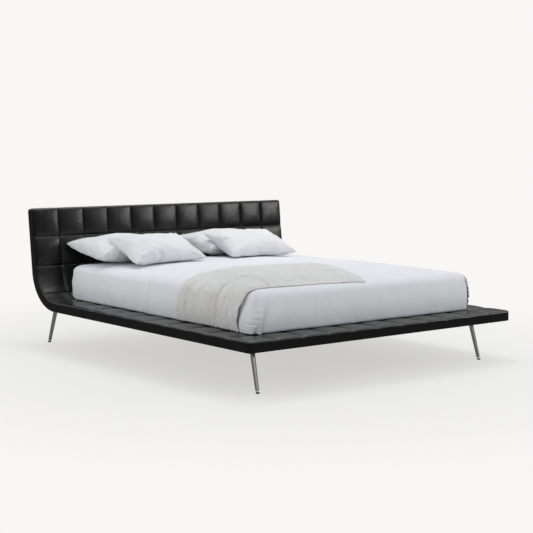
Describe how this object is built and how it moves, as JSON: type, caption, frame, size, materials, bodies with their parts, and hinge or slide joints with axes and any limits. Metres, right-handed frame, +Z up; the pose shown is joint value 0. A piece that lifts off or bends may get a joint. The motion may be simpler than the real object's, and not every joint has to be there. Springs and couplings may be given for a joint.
{
  "type": "platform bed",
  "caption": "Low platform bed: quilted leather base that bends up into the headboard, on splayed steel legs, with slats, mattress, bedding, pillows and throw.",
  "frame": {"origin": "centre of the bounding box on the floor, under the feet", "axes": "+X across the bed to the right seen from the foot end, +Y along the bed towards the headboard, +Z up"},
  "size_m": [2.2, 2.3874, 0.935],
  "materials": {
    "black_leather": "satin",
    "black_lining": "matte",
    "foam": "matte",
    "beech_slat": "satin",
    "frame_wood": "matte",
    "plywood": "matte",
    "black_rubber": "matte",
    "zinc_steel": "satin",
    "black_steel": "satin",
    "polished_steel": "polished",
    "black_plastic": "matte",
    "mattress_ticking": "matte",
    "white_sheet": "matte",
    "white_coverlet": "matte",
    "pale_throw": "matte",
    "pillow_cotton": "matte"
  },
  "bodies": {
    "frame": {"side_board_left": "frame_wood", "side_board_right": "frame_wood", "foot_board": "frame_wood", "head_cross_rail": "frame_wood", "corner_dowels": "frame_wood", "corner_brackets": "zinc_steel", "bracket_screws": "zinc_steel", "centre_beam": "black_steel", "beam_hangers": "zinc_steel", "slat_ledge_left": "frame_wood", "slat_ledge_right": "frame_wood", "side_slat_caps": "black_rubber", "centre_slat_caps": "black_rubber", "slats_left": "beech_slat", "slats_right": "beech_slat", "headboard_rib_left": "frame_wood", "headboard_rib_right": "frame_wood", "headboard_inner_ribs": "frame_wood", "headboard_top_rail": "frame_wood", "headboard_front_skin": "plywood", "headboard_back_skin": "plywood", "rear_leg_blocks": "frame_wood", "headboard_bolts": "zinc_steel", "side_foam_left": "foam", "side_foam_right": "foam", "foot_foam": "foam", "headboard_foam": "foam", "side_cover_left": "black_leather", "side_cover_right": "black_leather", "foot_cover": "black_leather", "headboard_front_cover": "black_leather", "headboard_back_cover": "black_leather", "underside_lining": "black_lining", "leg_plates": "black_steel", "leg_bolts": "zinc_steel", "leg_foot_left": "polished_steel", "leg_foot_right": "polished_steel", "leg_head_left": "polished_steel", "leg_head_right": "polished_steel", "leg_inserts": "zinc_steel"},
    "mattress_unit": {"mattress": "mattress_ticking", "fitted_sheet": "white_sheet"},
    "coverlet_unit": {"coverlet": "white_coverlet"},
    "throw_unit": {"throw_top": "pale_throw", "throw_drop": "pale_throw"},
    "pillow_back_left_unit": {"pillow_back_left": "pillow_cotton"},
    "pillow_back_right_unit": {"pillow_back_right": "pillow_cotton"},
    "pillow_front_left_unit": {"pillow_front_left": "pillow_cotton"},
    "pillow_front_right_unit": {"pillow_front_right": "pillow_cotton"},
    "glide_foot_left_unit": {"stud_foot_left": "zinc_steel", "glide_foot_left": "black_plastic"},
    "glide_foot_right_unit": {"stud_foot_right": "zinc_steel", "glide_foot_right": "black_plastic"},
    "glide_head_left_unit": {"stud_head_left": "zinc_steel", "glide_head_left": "black_plastic"},
    "glide_head_right_unit": {"stud_head_right": "zinc_steel", "glide_head_right": "black_plastic"}
  },
  "joints": [
    {"name": "glide_foot_left_out", "type": "slide", "parent": "frame", "child": "glide_foot_left_unit", "axis": [-0.0503, -0.2753, -0.96], "range_m": [0, 0.008]},
    {"name": "glide_foot_right_out", "type": "slide", "parent": "frame", "child": "glide_foot_right_unit", "axis": [0.0503, -0.2753, -0.96], "range_m": [0, 0.008]},
    {"name": "glide_head_left_out", "type": "slide", "parent": "frame", "child": "glide_head_left_unit", "axis": [-0.0503, 0.2753, -0.96], "range_m": [0, 0.008]},
    {"name": "glide_head_right_out", "type": "slide", "parent": "frame", "child": "glide_head_right_unit", "axis": [0.0503, 0.2753, -0.96], "range_m": [0, 0.008]},
    {"name": "mattress_lift", "type": "slide", "parent": "frame", "child": "mattress_unit", "axis": [0, 0, 1], "range_m": [0, 0.25]},
    {"name": "coverlet_lift", "type": "slide", "parent": "mattress_unit", "child": "coverlet_unit", "axis": [0, 0, 1], "range_m": [0, 0.3]},
    {"name": "throw_lift", "type": "slide", "parent": "coverlet_unit", "child": "throw_unit", "axis": [0, 0, 1], "range_m": [0, 0.3]},
    {"name": "pillow_back_left_lift", "type": "slide", "parent": "mattress_unit", "child": "pillow_back_left_unit", "axis": [0, 0, 1], "range_m": [0, 0.25]},
    {"name": "pillow_front_left_lift", "type": "slide", "parent": "pillow_back_left_unit", "child": "pillow_front_left_unit", "axis": [0, 0, 1], "range_m": [0, 0.25]},
    {"name": "pillow_back_right_lift", "type": "slide", "parent": "mattress_unit", "child": "pillow_back_right_unit", "axis": [0, 0, 1], "range_m": [0, 0.25]},
    {"name": "pillow_front_right_lift", "type": "slide", "parent": "pillow_back_right_unit", "child": "pillow_front_right_unit", "axis": [0, 0, 1], "range_m": [0, 0.25]}
  ]
}
